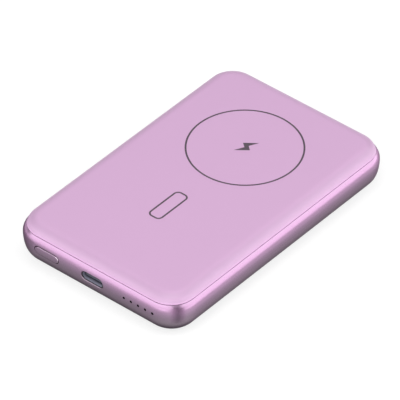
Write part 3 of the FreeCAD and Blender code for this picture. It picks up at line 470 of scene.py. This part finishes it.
# ---------------------------------------------------------------- cover
def cover_section(top):
    """Outside of the cover's edge from foot to flat face, as (inset, height): two tangent arcs."""
    # Inset of the side arc's centre, then how far across it is from there to the crown's centre
    side = math.sqrt(EDGE_RADIUS ** 2 - EDGE_DROP ** 2)
    run = EDGE_RUN - side
    # How far up it is from the side arc's centre to the flat face, and the crown arc's radius
    rise = top - COVER_FOOT + EDGE_DROP
    crown = (run ** 2 + rise ** 2 - EDGE_RADIUS ** 2) / (2 * (rise - EDGE_RADIUS))
    # Angles from upright: where the two arcs meet, and where the side arc starts
    meet = math.atan2(run, crown - rise)
    foot = math.pi / 2 - math.asin(EDGE_DROP / EDGE_RADIUS)
    points = []
    for step in range(EDGE_STEPS + 1):
        tilt = foot + (meet - foot) * step / EDGE_STEPS
        points.append((side - EDGE_RADIUS * math.sin(tilt),
                       COVER_FOOT - EDGE_DROP + EDGE_RADIUS * math.cos(tilt)))
    for step in range(1, CROWN_STEPS + 1):
        tilt = meet * (1 - step / CROWN_STEPS)
        points.append((EDGE_RUN - crown * math.sin(tilt), top - crown + crown * math.cos(tilt)))
    return points


def make_cover(material):
    """The charging panel: its pillowed edge swept round the case, its skirt, and a flat face."""
    low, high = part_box("top_cover")
    half_size = (high[0] / MM, high[1] / MM)
    top = high[2] / MM - MARK_DEPTH
    inner = [(SKIRT_INSETS[1], top - COVER_THICKNESS), (SKIRT_INSETS[1], low[2] / MM),
             (SKIRT_INSETS[0], low[2] / MM), (SKIRT_INSETS[0], COVER_FOOT)]
    section = inner + cover_section(top) + [(EDGE_RUN + FACE_MARGIN, top)]

    def build(shape):
        loops = []
        for inset, height in section:
            size = (half_size[0] - inset, half_size[1] - inset)
            outline = rounded_outline((0, 0), size, COVER_CORNER - inset, COVER_CORNER_STEPS)
            loops.append(raise_loop(shape, outline, height * MM))
        close_tube(shape, loops)

    cover = mesh_piece("cover", build, material)
    smooth(cover)
    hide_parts("top_cover")


# ---------------------------------------------------------------- button
def clamped(value):
    """A value kept between 0 and 1."""
    return min(max(value, 0), 1)


def mark_painted_glint(mesh):
    """Mark the button's bevel for a painted glint, most of all where it faces right and upwards,
    towards the light.
    """
    mark = mesh.attributes.new(PAINTED_GLINT, "FLOAT", "FACE")
    for face in mesh.polygons:
        right, forward, up = face.normal.x, -face.normal.y, face.normal.z
        if BEVEL_FORWARD[0] < forward < BEVEL_FORWARD[1]:
            facing = clamped(BEVEL_GAIN * right) * clamped(BEVEL_GAIN * up + BEVEL_UPWARD_LEAD)
            mark.data[face.index].value = BEVEL_LEAST_TINT + (1 - BEVEL_LEAST_TINT) * facing


def make_button(frame, material):
    """The button, low in its slot, so that the gap above and beside it shows dark."""
    low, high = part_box("button_cap")
    middle = (low[2] + high[2]) / 2
    reach = high[2] - middle
    centre = (low[0] + high[0]) / 2
    half_width = high[0] - centre
    mesh = frame["nodes"]["button_cap"].data.copy()
    for corner in mesh.vertices:
        upward = (corner.co.z - middle) / reach
        drop = BUTTON_TOP_DROP if upward > 0 else BUTTON_FOOT_DROP
        corner.co.z -= drop * MM * abs(upward)
        rightward = max(corner.co.x - centre, 0) / half_width
        corner.co.x -= BUTTON_END_INSET * MM * rightward
    mark_painted_glint(mesh)
    mesh.materials.clear()
    mesh.materials.append(material)
    button = new_object("button", mesh)
    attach(button, "power_button")
    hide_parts("button_cap")


# ---------------------------------------------------------------- light tips
def make_light_tips(material):
    """Rounded, smoked tips of the light guide, one in each hole."""
    low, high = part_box("light_guide")
    middle = (low[0] + high[0]) / 2
    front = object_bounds()[0][1]
    angles = [math.tau * step / TIP_STEPS for step in range(TIP_STEPS)]
    circle = [Vector((math.cos(angle), 0, math.sin(angle))) for angle in angles]

    def build(shape):
        for index in range(TIP_COUNT):
            x = middle + (index - (TIP_COUNT - 1) / 2) * TIP_PITCH * MM
            loops = []
            for share, depth in TIP_PROFILE:
                place = Vector((x, front + (TIP_DEPTH + depth) * MM, TIP_HEIGHT * MM))
                ring = [place + point * share * TIP_RADIUS * MM for point in circle]
                loops.append([shape.verts.new(point) for point in ring])
            close_tube(shape, loops)

    tips = mesh_piece("light_tips", build, material)
    smooth(tips)


# ---------------------------------------------------------------- printed marks
def printed_line(name, centre, half_size, radius, top, material):
    """A printed line that follows a rounded rectangle, flush with the face."""
    def build(shape):
        loops = []
        for side in (1, -1):
            grow = side * MARK_LINE / 2
            size = (half_size[0] + grow, half_size[1] + grow)
            outline = rounded_outline(centre, size, radius + grow, MARK_CORNER_STEPS)
            loops.append(raise_loop(shape, outline, top))
            loops.append(raise_loop(shape, outline, top - 2 * MARK_DEPTH * MM))
        outer_top, outer_low, inner_top, inner_low = loops
        bridge(shape, outer_top, inner_top)
        bridge(shape, outer_low, outer_top)
        bridge(shape, inner_low, inner_top)
        bridge(shape, outer_low, inner_low)

    mesh_piece(name, build, material)


def printed_bolt(top, material):
    """A plain lightning bolt inside the ring: three corners, and the same turned round."""
    corners = BOLT_CORNERS + [(-x, -y) for x, y in BOLT_CORNERS]
    outline = [(BOLT_CENTRE[0] + x, BOLT_CENTRE[1] + y) for x, y in corners]

    def build(shape):
        upper = raise_loop(shape, outline, top)
        lower = raise_loop(shape, outline, top - 2 * MARK_DEPTH * MM)
        close_tube(shape, [upper, lower])

    mesh_piece("mark_bolt", build, material)


def print_marks():
    """Ring, bar and bolt on the charging face."""
    ink = finish("mark_print", **INK_FINISH)
    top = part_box("top_cover")[1][2]
    printed_line("mark_ring", RING_CENTRE, (RING_RADIUS, RING_RADIUS), RING_RADIUS, top, ink)
    printed_line("mark_bar", BAR_CENTRE, BAR_HALF_SIZE, BAR_CORNER, top, ink)
    printed_bolt(top, ink)


# ---------------------------------------------------------------- floor, light and camera
def direction(turn, raised):
    """Unit vector from the object: turn is from the port end (-Y) towards +X, both in degrees."""
    turn, raised = math.radians(turn), math.radians(raised)
    return Vector((math.sin(turn) * math.cos(raised), -math.cos(turn) * math.cos(raised),
                   math.sin(raised)))


def background_light(tree, reflected=1.0):
    """1 for camera rays, reflected for glossy and transmission rays, 0 for light that falls."""
    path = tree.nodes.new("ShaderNodeLightPath")
    mirrored = calculate(tree, "MAXIMUM", path.outputs["Is Glossy Ray"],
                         path.outputs["Is Transmission Ray"])
    mirrored = calculate(tree, "MULTIPLY", mirrored, reflected)
    return calculate(tree, "MAXIMUM", path.outputs["Is Camera Ray"], mirrored)


def make_world():
    """White round the horizon, fading to a dim studio overhead; even, low light for the rest."""
    world = bpy.data.worlds.new("studio")
    bpy.context.scene.world = world
    world.use_nodes = True
    tree = world.node_tree
    shade = tree.nodes["Background"]
    shade.inputs["Color"].default_value = (1, 1, 1, 1)
    axes = tree.nodes.new("ShaderNodeSeparateXYZ")
    place = tree.nodes.new("ShaderNodeTexCoord")
    tree.links.new(place.outputs["Generated"], axes.inputs[0])
    low = fade_out(tree, axes.outputs["Z"], HORIZON_FADE)
    seen = calculate(tree, "ADD", calculate(tree, "MULTIPLY", low, 1 - STUDIO_DIM), STUDIO_DIM)
    level = map_range(tree, background_light(tree), (0, 1), (WORLD_LEVEL, seen))
    tree.links.new(level, shade.inputs["Strength"])


def dark_spots(nodes):
    """How dark the floor's spots make its reflection, from 0 to 1: a painted dark reflection."""
    dark = 0.0
    for x, y, inside, outside, share in DARK_SPOTS:
        apart = nodes.add("ShaderNodeVectorMath", operation="DISTANCE")
        apart.inputs[1].default_value = Vector((x, y, 0)) * MM
        nodes.join(nodes.place, apart.inputs[0])
        spot = fade_out(nodes.tree, apart.outputs["Value"], (inside * MM, outside * MM))
        dark = calculate(nodes.tree, "MAXIMUM", dark,
                         calculate(nodes.tree, "MULTIPLY", spot, share))
    return dark


def make_floor():
    """Plain pale floor that keeps the object's shadow."""
    nodes = Nodes("floor")
    nodes.set(Base_Color=(FLOOR_TONE, FLOOR_TONE, FLOOR_TONE, 1), Roughness=0.9,
              Specular_IOR_Level=0.0, Emission_Color=(1, 1, 1, 1))
    # The spots dim the floor's glow in reflections only: painted dark reflection on the frame
    plain = calculate(nodes.tree, "SUBTRACT", 1.0, dark_spots(nodes))
    glow = calculate(nodes.tree, "MULTIPLY", background_light(nodes.tree, plain), FLOOR_GLOW)
    nodes.join(glow, nodes.shader.inputs["Emission Strength"])
    corners = [(x * FLOOR_REACH, y * FLOOR_REACH, FLOOR_HEIGHT)
               for x, y in [(-1, -1), (1, -1), (1, 1), (-1, 1)]]
    mesh = bpy.data.meshes.new("floor")
    mesh.from_pydata(corners, [], [(0, 1, 2, 3)])
    mesh.materials.append(nodes.material)
    new_object("floor", mesh)


def card_mesh():
    """Mesh of the card, three points to a row, with its tone as a colour attribute."""
    places, tones, faces = [], [], []
    for distance, height, half_width, middle_tone, side_tone in CARD_ROWS:
        middle = Vector((*CARD_CORNER, height)) + direction(CARD_TURN, 0) * distance
        across = direction(CARD_TURN + 90, 0) * half_width
        places += [(middle - across) * MM, middle * MM, (middle + across) * MM]
        tones += [side_tone, middle_tone, side_tone]
    for row in range(len(CARD_ROWS) - 1):
        for side in (0, 1):
            first = 3 * row + side
            faces.append((first, first + 1, first + 4, first + 3))
    mesh = bpy.data.meshes.new("dark_card")
    mesh.from_pydata(places, [], faces)
    shades = mesh.color_attributes.new(name="tone", type="FLOAT_COLOR", domain="POINT")
    for point, tone in zip(shades.data, tones):
        point.color = (*(tone * share for share in CARD_REFLECTION_TINT), 1)
    return mesh


def make_dark_card():
    """A leaning card that only reflections show: a painted dark reflection in the middle, fading
    to a painted bright reflection at its sides.
    """
    nodes = Nodes("dark_card")
    nodes.set(Base_Color=(0.01, 0.01, 0.01, 1), Roughness=1.0, Specular_IOR_Level=0.0,
              Emission_Strength=1.0)
    shade = nodes.add("ShaderNodeVertexColor", layer_name="tone")
    nodes.join(shade.outputs["Color"], nodes.shader.inputs["Emission Color"])
    mesh = card_mesh()
    mesh.materials.append(nodes.material)
    card = new_object("dark_card", mesh)
    # Seen in reflections only: its glow is a painted reflection, dark in the middle and bright at
    # the sides
    card.visible_camera = False
    card.visible_diffuse = False
    card.visible_shadow = False


def soft_box(name, turn, raised, distance, width, height, power):
    """A large area lamp that faces the object."""
    lamp = bpy.data.lights.new(name, "AREA")
    lamp.shape = "RECTANGLE"
    lamp.size = width
    lamp.size_y = height
    lamp.energy = power
    box = new_object(name, lamp)
    towards = direction(turn, raised)
    box.location = towards * distance
    box.rotation_euler = towards.to_track_quat("Z", "Y").to_euler()


def make_lights():
    """All the soft boxes."""
    for name, lamp in LAMPS.items():
        soft_box(name, **lamp)


def place_camera():
    """Camera with a long lens, far enough away to show little perspective."""
    back = direction(CAMERA_TURN, CAMERA_RAISE)
    right = direction(CAMERA_TURN + 90, 0)
    up = back.cross(right)
    camera = bpy.data.cameras.new("camera")
    camera.lens = CAMERA_LENS
    camera.sensor_width = CAMERA_SENSOR
    camera.clip_start = 0.01
    camera.clip_end = 50
    eye = new_object("camera", camera)
    axes = Matrix((right, up, back)).transposed().to_4x4()
    place = back * CAMERA_DISTANCE + right * CAMERA_ASIDE + up * CAMERA_ABOVE
    eye.matrix_world = Matrix.Translation(place) @ axes
    bpy.context.scene.camera = eye


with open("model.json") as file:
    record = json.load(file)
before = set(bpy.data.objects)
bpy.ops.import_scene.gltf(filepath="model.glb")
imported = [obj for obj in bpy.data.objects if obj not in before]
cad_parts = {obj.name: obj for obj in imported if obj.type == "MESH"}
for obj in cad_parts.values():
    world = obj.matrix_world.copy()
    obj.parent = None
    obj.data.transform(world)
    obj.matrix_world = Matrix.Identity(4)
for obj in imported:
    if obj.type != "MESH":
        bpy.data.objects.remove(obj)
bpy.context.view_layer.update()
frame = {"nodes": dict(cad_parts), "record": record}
bpy.context.scene.view_settings.view_transform = "Standard"
finishes = dress_nodes(frame)
make_cover(finishes["cover_plastic"])
make_button(frame, finishes["button_metal"])
make_light_tips(finishes["light_pipe"])
print_marks()
make_world()
make_floor()
make_lights()
make_dark_card()
place_camera()
